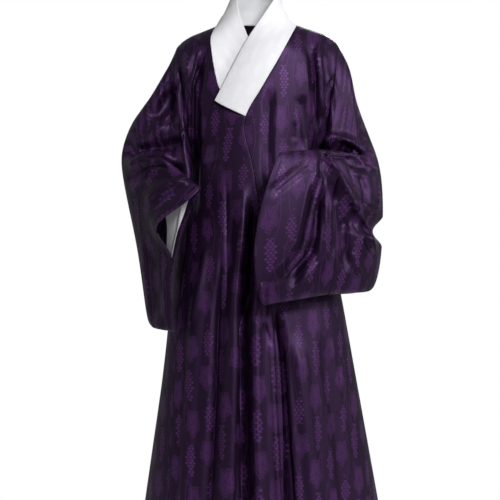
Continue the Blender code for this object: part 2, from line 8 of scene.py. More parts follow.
import bpy
import bmesh
import numpy as np
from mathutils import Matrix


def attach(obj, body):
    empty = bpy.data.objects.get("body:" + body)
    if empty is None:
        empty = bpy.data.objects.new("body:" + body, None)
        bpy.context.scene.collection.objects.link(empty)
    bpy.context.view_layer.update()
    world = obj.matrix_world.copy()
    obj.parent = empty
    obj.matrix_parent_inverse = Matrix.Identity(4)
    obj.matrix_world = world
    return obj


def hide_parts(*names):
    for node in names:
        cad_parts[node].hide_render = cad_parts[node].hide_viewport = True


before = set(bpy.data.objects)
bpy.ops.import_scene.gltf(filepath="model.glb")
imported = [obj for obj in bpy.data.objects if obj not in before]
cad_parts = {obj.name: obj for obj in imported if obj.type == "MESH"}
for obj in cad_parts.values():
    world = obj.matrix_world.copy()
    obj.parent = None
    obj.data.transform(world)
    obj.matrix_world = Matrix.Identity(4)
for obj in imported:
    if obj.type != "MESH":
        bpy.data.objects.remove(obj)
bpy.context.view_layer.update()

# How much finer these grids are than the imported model's
FINER_DOWN = 8
FINER_ACROSS = 10

# Driving sizes, in metres
CLOTH = 0.0022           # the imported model's wall, which the facing lies behind
COLLAR_CLOTH = 0.0026
FACING_CLOTH = 0.0012
COLLAR_GAP = 0.0006
FACING_GAP = 0.0004
OVERLAP_LIFT = 0.004     # how far the over front stands off the body
COVERED_SINK = 0.036     # how far the under front lies in where it is covered
NECK_HALF = 0.116        # centre line to where the shoulder seam meets the neck
NECK_DROP = 0.034        # how far the back neckline dips below the shoulder line
SHOULDER_ROLL = 0.11     # drop over which the cloth rounds forward off the shoulder
ARMHOLE_SHARE = 0.50     # armhole edge's depth as a share of the body's depth
SHOULDER_LEAN = 0.022    # rise of the shoulder line for each metre to the left
TIP_HEIGHT = -0.012
UNDERARM_HEIGHT = -0.310
HEM_HEIGHT = -1.345
COLLAR_CORNER = -0.229   # height of the outer corner of the collar's over end
LIFT_START = 0.20        # distance to the left at which the over front starts to stand off
LIFT_RUN = 0.07          # width over which it comes up to its full lift
LIFT_DROP = 0.10         # the same, down from the shoulder line
SINK_RUN = 0.060         # width over which the covered under front goes in
FACING_DEPTH_ROWS = FINER_DOWN * 6
SLACK_AT = 0.26          # where down a cuff its near side is set back the most
SLACK_SPREAD = 0.15
MIDDLE_AT = 0.4          # how far down a sleeve ring its middle point lies
ARMHOLE_FADE = 1.4       # rings over which a sleeve takes up the armhole's outline
COLLAR_CROWN = 0.010     # bulge of the collar band between its edges
CROWN_END = 0.60         # share of the band's length where the bulge starts to go
CROWN_RUN = 0.20
FOLD_END = 0.2           # share of a fold's length over which it fades at an end
SIDE_GAIN = 2.0          # above 1, a fold keeps its height further round a side

# Grid sizes of the pieces
NECK_ROWS = FINER_DOWN * 10
ARM_ROWS = FINER_DOWN * 14
ALL_ROWS = FINER_DOWN * 31
SIDE_COLUMNS = FINER_ACROSS * 11        # from the neck point, or the front edge, to the side
NAPE_COLUMNS = FINER_ACROSS * 4         # from the neck point to the centre of the back
OVERLAP_COLUMNS = FINER_ACROSS * 8
UPPER_SLEEVE_ROWS = FINER_DOWN * 11
LOWER_SLEEVE_ROWS = FINER_DOWN * 8
COLLAR_COLUMNS = FINER_ACROSS * 4
ARM_EASING = 1.4         # above 1, rows crowd towards the top of the armhole
NECK_EASING = 1.25

# Eye point and scale of the front view that places the folds
EYE = (-0.020, -4.500, -0.5985)
PIXELS_PER_SLOPE = 1579.0
VIEW_MIDDLE = 250.0
VIEW_BOTTOM = 500.0      # a fold whose line ends below this runs on to the hem

# Height of the shoulder line: distance from the centre line, height
SHOULDER_LINE = (
    (0.000, 0.085),
    (0.060, 0.070),
    (0.116, 0.041),
    (0.160, 0.024),
    (0.190, 0.012),
    (0.210, 0.000),
    (0.228, -0.016),
)

# Body sections: height, half width to the wearer's left, half width to the
# wearer's right, depth to the front, depth to the back
BODY = (
    (0.090, 0.228, 0.228, 0.098, 0.092),
    (-0.012, 0.228, 0.228, 0.112, 0.104),
    (-0.114, 0.218, 0.218, 0.122, 0.113),
    (-0.228, 0.201, 0.201, 0.127, 0.116),
    (-0.310, 0.190, 0.190, 0.130, 0.116),
    (-0.450, 0.196, 0.200, 0.139, 0.119),
    (-0.600, 0.216, 0.235, 0.151, 0.131),
    (-0.750, 0.244, 0.247, 0.166, 0.151),
    (-0.950, 0.280, 0.268, 0.187, 0.181),
    (-1.150, 0.316, 0.296, 0.207, 0.208),
    (-1.345, 0.351, 0.324, 0.226, 0.235),
)

# Seam of the over front with its overlap panel, and the neck edge above it:
# height, distance to the wearer's left
OVER_SEAM = (
    (0.043, 0.116),
    (-0.064, 0.061),
    (-0.147, 0.013),
    (-0.229, -0.032),
    (-0.370, -0.012),
    (-0.516, 0.013),
    (-0.768, 0.040),
    (-0.969, 0.046),
    (-1.345, 0.067),
)

# Free edge of the overlap panel: height, distance to the wearer's left
OVERLAP_EDGE = (
    (-0.184, -0.119),
    (-0.368, -0.167),
    (-0.600, -0.195),
    (-0.823, -0.221),
    (-1.043, -0.229),
    (-1.345, -0.243),
)

# Line from the crossing of the collar to its over end, above that free edge
COVER_LINE = (
    (0.120, 0.300),
    (0.030, 0.100),
    (-0.002, -0.020),
    (-0.100, -0.078),
) + OVERLAP_EDGE

# Neck edge of the under front, and below it its own free edge
UNDER_EDGE = (
    (0.043, -0.116),
    (0.006, -0.130),
    (-0.039, -0.128),
    (-0.074, -0.123),
    (-0.115, -0.115),
    (-0.147, -0.106),
    (-0.190, -0.070),
    (-0.229, -0.020),
    (-0.400, 0.020),
    (-0.800, 0.060),
    (-1.345, 0.100),
)

# Inner edge of the collar band, from the over end round the nape to the under
# end: share of the length, x, y, z
COLLAR_INNER = (
    (0.00, -0.119, -0.124, -0.184),
    (0.14, -0.075, -0.118, -0.098),
    (0.28, -0.024, -0.094, -0.002),
    (0.39, 0.045, -0.058, 0.104),
    (0.45, 0.062, -0.006, 0.142),
    (0.52, 0.000, 0.056, 0.158),
    (0.58, -0.062, -0.006, 0.142),
    (0.63, -0.058, -0.050, 0.106),
    (0.76, -0.024, -0.072, -0.002),
    (0.88, 0.032, -0.090, -0.100),
    (1.00, 0.082, -0.098, -0.190),
)

# Sleeve rings from armhole to cuff. Each ring hangs from a top point, through a
# middle point, to a bottom point. Then come the bearing of its side that begins
# at the body's front, in degrees, its half thickness at the top and at the
# bottom, and how far its other side is set back from the cuff
LEFT_SLEEVE = (
    ((0.228, 0.000, -0.012), (0.212, 0.000, -0.140), (0.190, 0.000, -0.310), -90, 0.060, 0.030, 0.0),
    ((0.262, 0.004, -0.080), (0.244, 0.000, -0.225), (0.188, -0.060, -0.395), -90, 0.062, 0.040, 0.0),
    ((0.284, 0.004, -0.175), (0.276, 0.000, -0.320), (0.222, -0.058, -0.510), -98, 0.060, 0.036, 0.0),
    ((0.306, -0.008, -0.268), (0.304, -0.016, -0.420), (0.280, -0.030, -0.620), -125, 0.056, 0.030, 0.0),
    ((0.302, -0.056, -0.330), (0.316, -0.060, -0.490), (0.316, -0.048, -0.705), -175, 0.046, 0.026, 0.0),
    ((0.248, -0.124, -0.328), (0.272, -0.134, -0.500), (0.268, -0.126, -0.718), -222, 0.042, 0.022, 0.0),
    ((0.185, -0.176, -0.324), (0.200, -0.192, -0.500), (0.188, -0.186, -0.722), -236, 0.040, 0.020, 0.0),
    ((0.112, -0.215, -0.328), (0.100, -0.232, -0.510), (0.100, -0.226, -0.735), -240, 0.040, 0.022, 0.0),
    ((0.062, -0.242, -0.335), (0.003, -0.250, -0.520), (0.014, -0.246, -0.750), -275, 0.034, 0.024, 0.0),
)
RIGHT_SLEEVE = (
    ((-0.228, 0.000, -0.012), (-0.212, 0.000, -0.140), (-0.190, 0.000, -0.310), -90, 0.060, 0.030, 0.0),
    ((-0.256, 0.004, -0.080), (-0.242, 0.000, -0.240), (-0.184, -0.078, -0.395), -90, 0.062, 0.040, 0.0),
    ((-0.300, 0.006, -0.155), (-0.282, 0.000, -0.330), (-0.208, -0.080, -0.520), -86, 0.060, 0.036, 0.0),
    ((-0.352, 0.006, -0.235), (-0.342, 0.000, -0.430), (-0.260, -0.050, -0.660), -68, 0.054, 0.030, 0.0),
    ((-0.370, -0.014, -0.325), (-0.322, -0.030, -0.540), (-0.296, -0.032, -0.785), -25, 0.040, 0.020, 0.0),
    ((-0.328, -0.080, -0.345), (-0.304, -0.074, -0.560), (-0.290, -0.070, -0.814), 12, 0.040, 0.020, 0.0),
    ((-0.252, -0.150, -0.355), (-0.262, -0.132, -0.570), (-0.265, -0.120, -0.820), 55, 0.042, 0.018, 0.03),
    ((-0.152, -0.205, -0.430), (-0.217, -0.180, -0.590), (-0.226, -0.168, -0.822), 92, 0.044, 0.014, 0.074),
)
LEFT_SEAM_RING = 6.0
RIGHT_SEAM_RING = 5.4

# Largest folds of each piece in the front view: half width, height off the cloth
# (negative for a trough), then the points of the line in pixels of that view
FRONT_FOLDS = {"body": (
    (0.030, 0.020, ((243, 176), (243, 223), (236, 300), (230, 400), (226, 512))),
    (0.026, -0.024, ((255, 180), (250, 250), (243, 320), (245, 420), (247, 512))),
    (0.026, 0.016, ((262, 250), (256, 320), (258, 420), (262, 512))),
    (0.024, -0.026, ((274, 300), (279, 340), (282, 400), (290, 512))),
    (0.030, 0.012, ((296, 330), (304, 400), (316, 512))),
    (0.026, -0.012, ((322, 330), (336, 420), (346, 512))),
    (0.024, -0.012, ((220, 270), (215, 400), (208, 512))),
    (0.026, 0.010, ((206, 250), (199, 300), (190, 400), (184, 512))),
    (0.026, -0.018, ((203, 34), (198, 60), (193, 100), (194, 165), (192, 230))),
    (0.020, 0.010, ((188, 50), (190, 85), (187, 150))),
    (0.026, -0.018, ((303, 30), (313, 57), (316, 90), (317, 140), (312, 200))),
    (0.022, 0.010, ((323, 45), (325, 80), (322, 120))),
    (0.022, -0.010, ((270, 86), (268, 141), (268, 190))),
    (0.024, -0.010, ((300, 94), (304, 116), (308, 150))),
), "left_sleeve": (
    (0.026, 0.014, ((318, 142), (345, 140), (372, 155))),
    (0.026, -0.018, ((318, 152), (345, 153), (370, 172))),
    (0.028, 0.017, ((318, 150), (345, 195), (365, 235), (376, 265))),
    (0.026, -0.019, ((328, 168), (344, 203), (346, 240), (347, 274))),
    (0.024, 0.016, ((319, 172), (313, 203), (305, 241), (292, 264), (270, 284))),
    (0.022, -0.018, ((322, 184), (318, 215), (311, 250), (300, 268), (288, 294))),
    (0.022, -0.010, ((313, 160), (290, 178), (268, 196))),
), "right_sleeve": (
    (0.024, -0.018, ((176, 80), (166, 100), (152, 122))),
    (0.024, 0.015, ((180, 118), (160, 130), (140, 150))),
    (0.022, -0.016, ((186, 140), (160, 148), (134, 152))),
    (0.022, 0.015, ((128, 165), (150, 156), (178, 160))),
    (0.022, -0.010, ((130, 185), (150, 172), (185, 171))),
    (0.020, 0.010, ((145, 200), (162, 183), (190, 180))),
    (0.022, -0.010, ((150, 240), (153, 280), (156, 325))),
)}

# Largest folds on the back, in the same view as if seen through the robe
BACK_FOLDS = {"body": (
    (0.032, 0.014, ((257, 150), (256, 300), (254, 512))),
    (0.028, -0.015, ((238, 150), (232, 300), (222, 512))),
    (0.030, 0.012, ((218, 210), (208, 330), (192, 512))),
    (0.026, -0.012, ((196, 220), (184, 350), (168, 512))),
    (0.028, -0.015, ((276, 160), (283, 300), (290, 512))),
    (0.030, 0.012, ((297, 200), (306, 330), (320, 512))),
    (0.026, -0.012, ((318, 230), (330, 350), (346, 512))),
    (0.026, -0.014, ((204, 50), (196, 100), (196, 180))),
    (0.026, -0.014, ((308, 50), (318, 100), (317, 180))),
), "left_sleeve": (
    (0.028, -0.013, ((340, 90), (352, 140), (366, 180))),
    (0.028, -0.013, ((326, 130), (340, 190), (362, 240))),
), "right_sleeve": (
    (0.028, -0.013, ((170, 90), (156, 140), (142, 180))),
    (0.028, -0.013, ((186, 130), (172, 190), (152, 250))),
)}

# Folds that run over a sleeve's outline and so go round both of its sides
EDGE_FOLDS = {"left_sleeve": (
    (0.042, -0.028, ((346, 214), (368, 226), (394, 236))),
)}

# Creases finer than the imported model's folds, front and back, in the same form
FRONT_CREASES = {"body": (
    (0.009, 0.008, ((205, 38), (197, 60), (190, 85), (189, 125), (192, 165))),
    (0.008, -0.010, ((209, 40), (201, 62), (194, 86), (193, 125), (195, 168))),
    (0.014, 0.005, ((183, 109), (188, 143), (191, 168))),
    (0.010, -0.004, ((177, 45), (180, 80), (187, 120), (191, 147))),
    (0.010, 0.003, ((199, 167), (212, 161), (224, 159))),
    (0.012, -0.004, ((226, 163), (227, 245), (226, 327))),
    (0.012, -0.005, ((295, 122), (293, 141))),
    (0.009, 0.007, ((317, 45), (320, 75), (321, 110))),
    (0.008, -0.008, ((312, 44), (315, 75), (316, 112), (318, 135))),
    (0.012, -0.006, ((336, 74), (328, 87), (324, 111), (319, 129))),
    (0.010, -0.005, ((344, 63), (338, 80), (327, 109))),
    (0.010, 0.004, ((331, 70), (326, 90), (321, 118))),
    (0.014, 0.006, ((208, 243), (200, 285), (190, 330))),
    (0.011, -0.012, ((222, 240), (219, 300), (216, 400), (210, 512))),
    (0.010, -0.006, ((262, 322), (268, 334), (272, 345))),
    (0.012, -0.024, ((256, 200), (249, 290), (242, 330), (243, 420), (244, 512))),
    (0.012, 0.008, ((244, 180), (243, 223), (235, 300), (233, 400), (230, 512))),
    (0.012, 0.009, ((262, 260), (256, 320), (257, 420), (260, 512))),
    (0.007, 0.006, ((271, 312), (274, 400), (279, 512))),
    (0.011, -0.026, ((275, 300), (280, 400), (286, 512))),
    (0.014, -0.012, ((281, 330), (286, 400), (294, 512))),
    (0.016, 0.004, ((310, 330), (322, 420), (332, 512))),
    (0.016, -0.004, ((334, 340), (350, 430), (362, 512))),
    (0.012, -0.004, ((186, 335), (181, 420), (176, 512))),
), "left_sleeve": (
    (0.011, 0.009, ((317, 140), (332, 137), (352, 142), (366, 153), (378, 162))),
    (0.010, -0.012, ((319, 147), (334, 141), (347, 146), (360, 155), (372, 164), (380, 167))),
    (0.011, 0.008, ((347, 148), (356, 157), (364, 166), (374, 170), (380, 168))),
    (0.012, -0.010, ((342, 148), (350, 165), (356, 182), (364, 205))),
    (0.014, -0.012, ((360, 173), (366, 190), (367, 208))),
    (0.010, 0.008, ((374, 170), (377, 190), (379, 206))),
    (0.010, -0.009, ((362, 201), (372, 209), (382, 210))),
    (0.013, 0.015, ((314, 144), (322, 151), (334, 168), (347, 189), (357, 209), (367, 230), (378, 260))),
    (0.013, -0.014, ((343, 194), (353, 216), (363, 236), (376, 262))),
    (0.012, -0.008, ((344, 212), (344, 240), (347, 276))),
    (0.012, 0.006, ((351, 250), (356, 265), (362, 276))),
    (0.012, 0.012, ((318, 152), (320, 160), (319, 181), (313, 203), (309, 222), (305, 241), (300, 254),
                    (292, 264), (281, 278), (264, 285))),
    (0.014, -0.014, ((321, 190), (317, 215), (315, 235), (310, 252), (298, 267), (284, 284))),
    (0.010, 0.005, ((322, 158), (321, 200), (321, 240), (319, 262), (308, 275), (296, 285), (286, 294))),
    (0.022, 0.008, ((313, 160), (290, 178), (268, 196))),
    (0.011, 0.006, ((325, 160), (326, 220), (325, 288))),
    (0.016, -0.009, ((333, 176), (336, 205), (334, 262))),
    (0.009, -0.008, ((268, 284), (265, 294), (268, 307))),
    (0.007, 0.005, ((262, 282), (260, 296), (264, 306))),
), "right_sleeve": (
    (0.012, 0.007, ((144, 205), (153, 194), (162, 185), (173, 181), (190, 183))),
    (0.010, -0.006, ((150, 210), (159, 199), (168, 191), (178, 187))),
    (0.034, -0.018, ((172, 88), (167, 106), (170, 134))),
    (0.007, 0.003, ((129, 130), (140, 129), (149, 130))),
    (0.022, 0.014, ((124, 169), (136, 162), (146, 156), (156, 155), (170, 158), (184, 166))),
    (0.018, -0.013, ((124, 183), (137, 175), (148, 169), (160, 168), (172, 170))),
    (0.010, 0.005, ((132, 192), (142, 182), (152, 176))),
    (0.014, 0.009, ((182, 60), (176, 84), (180, 112), (187, 150))),
    (0.014, -0.007, ((173, 62), (168, 80), (160, 95))),
    (0.010, -0.004, ((146, 240), (148, 280), (152, 325))),
    (0.008, 0.004, ((164, 262), (165, 300), (167, 330))),
)}

BACK_CREASES = {"body": (
    (0.012, -0.005, ((248, 170), (246, 320), (240, 512))),
    (0.012, -0.005, ((266, 170), (270, 320), (274, 512))),
    (0.014, 0.004, ((228, 200), (220, 330), (206, 512))),
    (0.014, 0.004, ((286, 190), (294, 330), (306, 512))),
    (0.012, -0.005, ((210, 46), (203, 90), (205, 150))),
    (0.012, -0.005, ((302, 46), (311, 90), (309, 150))),
), "left_sleeve": (
    (0.012, -0.006, ((345, 110), (356, 160), (372, 200))),
    (0.010, 0.005, ((332, 150), (345, 205), (366, 250))),
    (0.010, -0.005, ((322, 170), (330, 220), (342, 262))),
), "right_sleeve": (
    (0.012, -0.006, ((166, 110), (152, 150), (136, 180))),
    (0.010, 0.005, ((182, 150), (168, 205), (150, 260))),
    (0.010, -0.005, ((188, 170), (180, 230), (168, 290))),
)}

def round_fold(across):
    """Share of a fold's height at a share of its half width."""
    return (1.0 - across**2)**2


def sharp_crease(across):
    """The same for a crease, which has a sharp middle line."""
    return (1.0 - across)**2 * (1.0 + across)


# Each table with the side that it shows on, -1 the front, 1 the back and 0 both,
# and the profile of its folds
FOLDS = ((FRONT_FOLDS, -1.0, round_fold), (BACK_FOLDS, 1.0, round_fold), (EDGE_FOLDS, 0.0, round_fold))
CREASES = ((FRONT_CREASES, -1.0, sharp_crease), (BACK_CREASES, 1.0, sharp_crease))


def smooth_through(knots, values, at):
    """Value at each place of a smooth curve through values at rising knots."""
    knots = np.asarray(knots, float)
    values = np.asarray(values, float)
    at = np.clip(np.asarray(at, float), knots[0], knots[-1])
    index = np.clip(np.searchsorted(knots, at, side="right") - 1, 0, len(knots) - 2)
    slopes = np.gradient(values, knots, axis=0)
    step = knots[index + 1] - knots[index]
    t = (at - knots[index]) / step
    if values.ndim == 2:
        t = t[..., None]
        step = step[..., None]
    start = (2 * t**3 - 3 * t**2 + 1) * values[index]
    start_slope = (t**3 - 2 * t**2 + t) * step * slopes[index]
    end = (3 * t**2 - 2 * t**3) * values[index + 1]
    end_slope = (t**3 - t**2) * step * slopes[index + 1]
    return start + start_slope + end + end_slope


def by_height(table, column, height):
    """Read one column of a table whose first column is a falling height."""
    rows = np.array(table)
    return smooth_through(-rows[:, 0], rows[:, column], -np.asarray(height, float))


def ease(t):
    """Rise from 0 to 1 with level ends."""
    t = np.clip(t, 0.0, 1.0)
    return t * t * (3.0 - 2.0 * t)


def shoulder_height(x):
    line = np.array(SHOULDER_LINE)
    return smooth_through(line[:, 0], line[:, 1], np.abs(x)) + SHOULDER_LEAN * x


def armhole_share(height):
    """Depth of the armhole edge as a share of the body's depth at a height."""
    down = np.clip((TIP_HEIGHT - height) / (TIP_HEIGHT - UNDERARM_HEIGHT), 0.0, 1.0)
    return ARMHOLE_SHARE * np.sqrt(1.0 - down**4)


def side_angle(height):
    """Angle from the centre line to the armhole edge or the side seam."""
    return np.arccos(armhole_share(height))


def half_width(height, to_left):
    """Half width of the whole oval that the body's section follows."""
    edge = np.where(to_left, by_height(BODY, 1, height), by_height(BODY, 2, height))
    return edge / np.sin(side_angle(height))


def body_points(angle, height, drop, face):
    """Points of the body cloth. The angle runs from the centre line, positive to
    the wearer's left, drop is the distance below the shoulder line, and face is 3
    for the front and 4 for the back, as in the columns of BODY."""
    x = half_width(height, angle >= 0.0) * np.sin(angle)
    roll = np.clip(drop / SHOULDER_ROLL, 0.0, 1.0)
    depth = by_height(BODY, face, height) * np.cos(angle) * np.sqrt(1.0 - (1.0 - roll)**2)
    toward = -1.0 if face == 3 else 1.0
    return np.stack([x, toward * depth, height], axis=-1)


def angle_at(x, height):
    """Angle from the centre line at which the section passes a distance x."""
    return np.arcsin(np.clip(x / half_width(height, x >= 0.0), -1.0, 1.0))


def eased_heights(top, bend, rows, easing):
    """Heights down an edge to its bend, crowded at the top, and on down to the hem."""
    share = (np.arange(rows + 1) / rows)**easing
    below = np.linspace(bend, HEM_HEIGHT, ALL_ROWS - rows + 1)[1:]
    return np.concatenate([top + (bend - top) * share, below])


def side_heights():
    return eased_heights(TIP_HEIGHT, UNDERARM_HEIGHT, ARM_ROWS, ARM_EASING)


def spread(first, last, columns):
    """Rows of values that run from a first column to a last one."""
    share = np.linspace(0.0, 1.0, columns + 1)
    return first[:, None] * (1.0 - share) + last[:, None] * share


def front_panel(edge_table, side):
    """Grid of a front from its neck edge and free edge out to the side, which is 1
    to the wearer's left and -1 to the right."""
    inner = eased_heights(edge_table[0][0], COLLAR_CORNER, NECK_ROWS, NECK_EASING)
    outer = side_heights()
    inner_angle = angle_at(by_height(edge_table, 1, inner), inner)
    angle = spread(inner_angle, side * side_angle(outer), SIDE_COLUMNS)
    return rolled_over(angle, spread(inner, outer, SIDE_COLUMNS), 3)


def back_panel(side):
    """Grid of half the back, from its centre seam out to the side."""
    outer = side_heights()
    middle, neck = (
        np.concatenate([np.linspace(top, UNDERARM_HEIGHT, ARM_ROWS + 1), outer[ARM_ROWS + 1:]])
        for top in (SHOULDER_LINE[0][1] - NECK_DROP, SHOULDER_LINE[2][1]))
    neck_angle = angle_at(np.full(neck.shape, NECK_HALF), neck)
    share = np.linspace(0.0, 1.0, NAPE_COLUMNS + 1)[:-1]
    nape_angle = neck_angle[:, None] * share
    side_part = spread(neck_angle, side_angle(outer), SIDE_COLUMNS)
    angle = side * np.concatenate([nape_angle, side_part], axis=1)
    nape_height = middle[:, None] + (neck - middle)[:, None] * share**2
    height = np.concatenate([nape_height, spread(neck, outer, SIDE_COLUMNS)], axis=1)
    return rolled_over(angle, height, 4)


def rolled_over(angle, height, face):
    """Lay a grid on the body with its first row on the shoulder line."""
    fade = (1.0 - np.minimum(np.arange(len(height)) / ARM_ROWS, 1.0))**2
    x = half_width(height, angle >= 0.0) * np.sin(angle)
    beyond_neck = np.abs(x[0]) >= NECK_HALF - 1e-6
    lift = np.where(beyond_neck, shoulder_height(x[0]) - height[0], 0.0)
    height = height + fade[:, None] * lift
    drop = shoulder_height(x) - height
    drop[0] = np.where(beyond_neck, 0.0, drop[0])
    return body_points(angle, height, drop, face)


def overlap_panel(over_front):
    """Grid of the overlap panel, from the collar's end down to the hem."""
    seam = over_front[NECK_ROWS:, 0]
    edge_heights = np.linspace(OVERLAP_EDGE[0][0], HEM_HEIGHT, len(seam))
    edge_angle = angle_at(by_height(OVERLAP_EDGE, 1, edge_heights), edge_heights)
    seam_angle = angle_at(seam[:, 0], seam[:, 2])
    angle = spread(edge_angle, seam_angle, OVERLAP_COLUMNS)
    height = spread(edge_heights, seam[:, 2], OVERLAP_COLUMNS)
    x = half_width(height, angle >= 0.0) * np.sin(angle)
    return body_points(angle, height, shoulder_height(x) - height, 3)


def sleeve_grid(table, seam_ring, armhole):
    """Grid of a sleeve: rows from armhole to cuff, columns round each ring."""
    rings = np.array([[*top, *middle, *bottom, *rest] for top, middle, bottom, *rest in table])
    place = np.concatenate([np.linspace(0.0, seam_ring, UPPER_SLEEVE_ROWS + 1),
                            np.linspace(seam_ring, len(table) - 1.0, LOWER_SLEEVE_ROWS + 1)[1:]])
    ring = smooth_through(np.arange(len(table)), rings, place)
    top, middle, bottom = ring[:, None, 0:3], ring[:, None, 3:6], ring[:, None, 6:9]
    bearing, thick, thin, set_back = ring[:, 9:].T
    bearing = np.radians(bearing)
    level = np.zeros(len(bearing))
    steps = np.arange(ARM_ROWS + 1) / ARM_ROWS
    even = 0.5 * (1.0 - np.cos(math.pi * steps))
    down = 0.5 * even + 0.5 * steps
    down = np.concatenate([down, down[-2:0:-1]])
    front_side = np.arange(len(down)) <= ARM_ROWS
    q = down[None, :, None]
    spine = (top * (q - MIDDLE_AT) * (q - 1.0) / MIDDLE_AT
             - middle * q * (q - 1.0) / (MIDDLE_AT * (1.0 - MIDDLE_AT))
             + bottom * q * (q - MIDDLE_AT) / (1.0 - MIDDLE_AT))
    sideways = np.stack([np.cos(bearing), np.sin(bearing), level], axis=-1)
    rounding = np.cbrt(1.0 - np.abs(2.0 * down - 1.0)**3)
    thickness = (thick[:, None] * (1.0 - down) + thin[:, None] * down) * rounding
    signed = thickness * np.where(front_side, 1.0, -1.0)
    points = spine + sideways[:, None, :] * signed[..., None]
    turn = 1.0 if table[0][0][0] > 0.0 else -1.0
    armward = turn * np.stack([np.sin(bearing), -np.cos(bearing), level], axis=-1)
    slack = ~front_side * np.exp(-((down - SLACK_AT) / SLACK_SPREAD)**2)
    points = points + armward[:, None, :] * (set_back[:, None] * slack)[..., None]
    fade = 1.0 - ease(place / ARMHOLE_FADE)
    return points + fade[:, None, None] * (armhole - points[0])


def collar_grid(over_front, under_front, left_back, right_back):
    """Grid of the collar band from its over end, round the nape, to its under end."""
    left_nape = left_back[0, :NAPE_COLUMNS + 1]
    right_nape = right_back[0, :NAPE_COLUMNS + 1]
    outer = np.concatenate([over_front[NECK_ROWS::-1, 0], left_nape[-2::-1],
                            right_nape[1:], under_front[1:NECK_ROWS + 1, 0]])
    runs = np.linalg.norm(np.diff(outer, axis=0), axis=1)
    length = np.concatenate([[0.0], np.cumsum(runs)])
    edge = np.array(COLLAR_INNER)
    inner = smooth_through(edge[:, 0], edge[:, 1:], length / length[-1])
    share = np.linspace(0.0, 1.0, COLLAR_COLUMNS + 1)[None, :, None]
    flat = inner[:, None, :] * (1.0 - share) + outer[:, None, :] * share
    outward = flat * np.array([1.0, 1.0, 0.0])
    outward = outward / np.linalg.norm(outward, axis=-1, keepdims=True)
    over_half = 1.0 - ease((length / length[-1] - CROWN_END) / CROWN_RUN)
    crown = COLLAR_CROWN * 4.0 * share * (1.0 - share) * over_half[:, None, None]
    return flat + outward * crown


def grid_normals(points, ring, turn):
    """Unit normals of a grid of points, pointing out of the robe."""
    down = np.gradient(points, axis=0)
    if ring:
        across = (np.roll(points, -1, axis=1) - np.roll(points, 1, axis=1)) / 2.0
    else:
        across = np.gradient(points, axis=1)
    normal = turn * np.cross(down, across)
    return normal / np.maximum(np.linalg.norm(normal, axis=-1, keepdims=True), 1e-12)


def in_view(points):
    """Pixel place of each point in the front view."""
    reach = points[..., 1] - EYE[1]
    across = VIEW_MIDDLE + PIXELS_PER_SLOPE * (points[..., 0] - EYE[0]) / reach
    down = VIEW_MIDDLE - PIXELS_PER_SLOPE * (points[..., 2] - EYE[2]) / reach
    return np.stack([across, down], axis=-1), reach / PIXELS_PER_SLOPE


def line_distance(places, line):
    """Distance of each place from a line of points, and the share run along it."""
    line = np.array(line, float)
    runs = np.linalg.norm(np.diff(line, axis=0), axis=1)
    before = np.concatenate([[0.0], np.cumsum(runs)])
    nearest = np.full(places.shape[:-1], np.inf)
    share = np.zeros(places.shape[:-1])
    for start, end, run, done in zip(line[:-1], line[1:], runs, before):
        along = np.clip(((places - start) @ (end - start)) / run**2, 0.0, 1.0)
        gap = np.linalg.norm(places - start - along[..., None] * (end - start), axis=-1)
        closer = gap < nearest
        nearest = np.where(closer, gap, nearest)
        share = np.where(closer, (done + along * run) / before[-1], share)
    return nearest, share


def fold_height(points, normals, group, tables):
    """How far the folds of a group move each point off the plain cloth."""
    places, metres_per_pixel = in_view(points)
    height = np.zeros(points.shape[:-1])
    for folds, facing, profile in tables:
        seen = np.clip(SIDE_GAIN * facing * normals[..., 1], 0.0, 1.0) if facing else 1.0
        for half_wide, crest, line in folds.get(group, ()):
            gap, share = line_distance(places, line)
            across = np.clip(gap * metres_per_pixel / half_wide, 0.0, 1.0)
            ends = ease(share / FOLD_END)
            if line[-1][1] < VIEW_BOTTOM:
                ends = ends * ease((1.0 - share) / FOLD_END)
            height += seen * crest * profile(across) * ends
    return height


def shaped(points, ring, turn, group, steps=(FOLDS, CREASES)):
    """The grid with its folds, and then its creases, raised and sunk along its normals."""
    for tables in steps:
        normals = grid_normals(points, ring, turn)
        points = points + normals * fold_height(points, normals, group, tables)[..., None]
    return points


def covered(points, turn):
    """The under front, folded where it shows and sunk plain where it is covered."""
    normals = grid_normals(points, False, turn)
    past = points[..., 0] - by_height(COVER_LINE, 1, points[..., 2])
    hidden = ease(past / SINK_RUN)
    height = fold_height(points, normals, "body", FOLDS)
    height = height * (1.0 - hidden) - COVERED_SINK * hidden
    sunk = points + normals * height[..., None]
    showing = (1.0 - hidden)[..., None]
    return sunk + showing * (shaped(sunk, False, turn, "body", (CREASES,)) - sunk)


def lifted(points, turn):
    """The over front, moved off the under front where they overlap."""
    normals = grid_normals(points, False, turn)
    drop = shoulder_height(points[..., 0]) - points[..., 2]
    inward = ease((LIFT_START - points[..., 0]) / LIFT_RUN)
    amount = OVERLAP_LIFT * inward * ease(drop / LIFT_DROP)
    return points + normals * amount[..., None]


def pulled_back(points, gap):
    """Half a seam gap taken off each side of a grid."""
    points = points.copy()
    for grid in (points, np.swapaxes(points, 0, 1)):
        for edge, inside in ((0, 1), (-1, -2)):
            step = grid[inside] - grid[edge]
            grid[edge] += gap / 2.0 * step / np.linalg.norm(step, axis=-1, keepdims=True)
    return points


# Thin shell, seams and hems
SHELL = 0.0016
CLOSED_GAP = 0.00002     # seams are drawn shut, so that no light leaks through
HEM_WIDTH = 0.014        # turned hem along the bottom and the overlap's free edge
HEM_RISE = 0.0007
HEM_STEP = 0.002         # width over which the hem's edge comes down to the cloth
SEAM_WIDTH = 0.004       # groove along a sewn seam
SEAM_DEPTH = 0.0004

